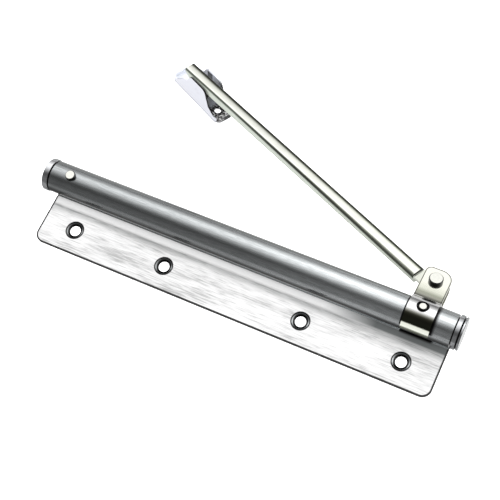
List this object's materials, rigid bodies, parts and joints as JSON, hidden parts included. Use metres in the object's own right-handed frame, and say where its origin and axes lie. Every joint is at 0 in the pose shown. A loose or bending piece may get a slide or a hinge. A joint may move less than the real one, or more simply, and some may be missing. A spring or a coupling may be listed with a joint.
{
  "type": "spring door closer",
  "caption": "Tubular spring door closer with a screw flange, a sprung collar turning on the tube, and a pivoting channel arm that slides over a roller foot",
  "frame": {"origin": "centre of the line of flange screw holes, on the flange's back face", "axes": "+X along the tube towards the collar, +Y from the flange to the tube, +Z out of the flange's back"},
  "size_m": [0.2523, 0.1549, 0.0621],
  "materials": {
    "zinc_bright": "bright zinc plating",
    "nickel_strap": "nickel plating",
    "nickel_warm": "warm nickel plating",
    "chrome_foot": "bright chrome",
    "spring_steel": "oiled spring steel",
    "steel_dark": "plain turned steel",
    "brass_washer": "plain brass",
    "roller_nylon": "moulded black nylon"
  },
  "bodies": {
    "base": {"flange_tube": "zinc_bright", "left_plug": "zinc_bright", "lock_pin": "zinc_bright", "right_plug": "zinc_bright", "thrust_washer": "brass_washer", "torsion_spring": "spring_steel"},
    "collar": {"collar_strap": "nickel_strap", "spindle": "steel_dark", "drive_pin": "nickel_strap", "pivot_rivet": "nickel_strap", "pivot_spacer": "nickel_strap"},
    "arm": {"arm_channel": "nickel_warm", "arm_lug": "nickel_warm"},
    "carriage": {"foot_pin": "chrome_foot"},
    "foot": {"foot_bracket": "chrome_foot"},
    "roller_body": {"roller": "roller_nylon"}
  },
  "joints": [
    {"name": "collar_swing", "type": "hinge", "parent": "base", "child": "collar", "pos_m": [0.10128, 0.0237, 0.0096], "axis": [1, 0, 0], "range_deg": [-30, 60], "stiffness_Nm_per_rad": 1.2, "springref_deg": 2.58},
    {"name": "arm_swing", "type": "hinge", "parent": "collar", "child": "arm", "pos_m": [0.101, 0.04382, 0.0046], "axis": [0, -0.2924, -0.9563], "range_deg": [-25, 150]},
    {"name": "foot_slide", "type": "slide", "parent": "arm", "child": "carriage", "axis": [-0.9041, 0.4087, -0.1249], "range_m": [-0.16, 0.003]},
    {"name": "foot_pitch", "type": "hinge", "parent": "carriage", "child": "foot", "pos_m": [-0.08389, 0.12561, -0.02678], "axis": [-0.4274, -0.8646, 0.2643], "range_deg": [-15, 25]},
    {"name": "roller_spin", "type": "hinge", "parent": "carriage", "child": "roller_body", "pos_m": [-0.08389, 0.12561, -0.02678], "axis": [-0.4274, -0.8646, 0.2643], "continuous": true}
  ]
}
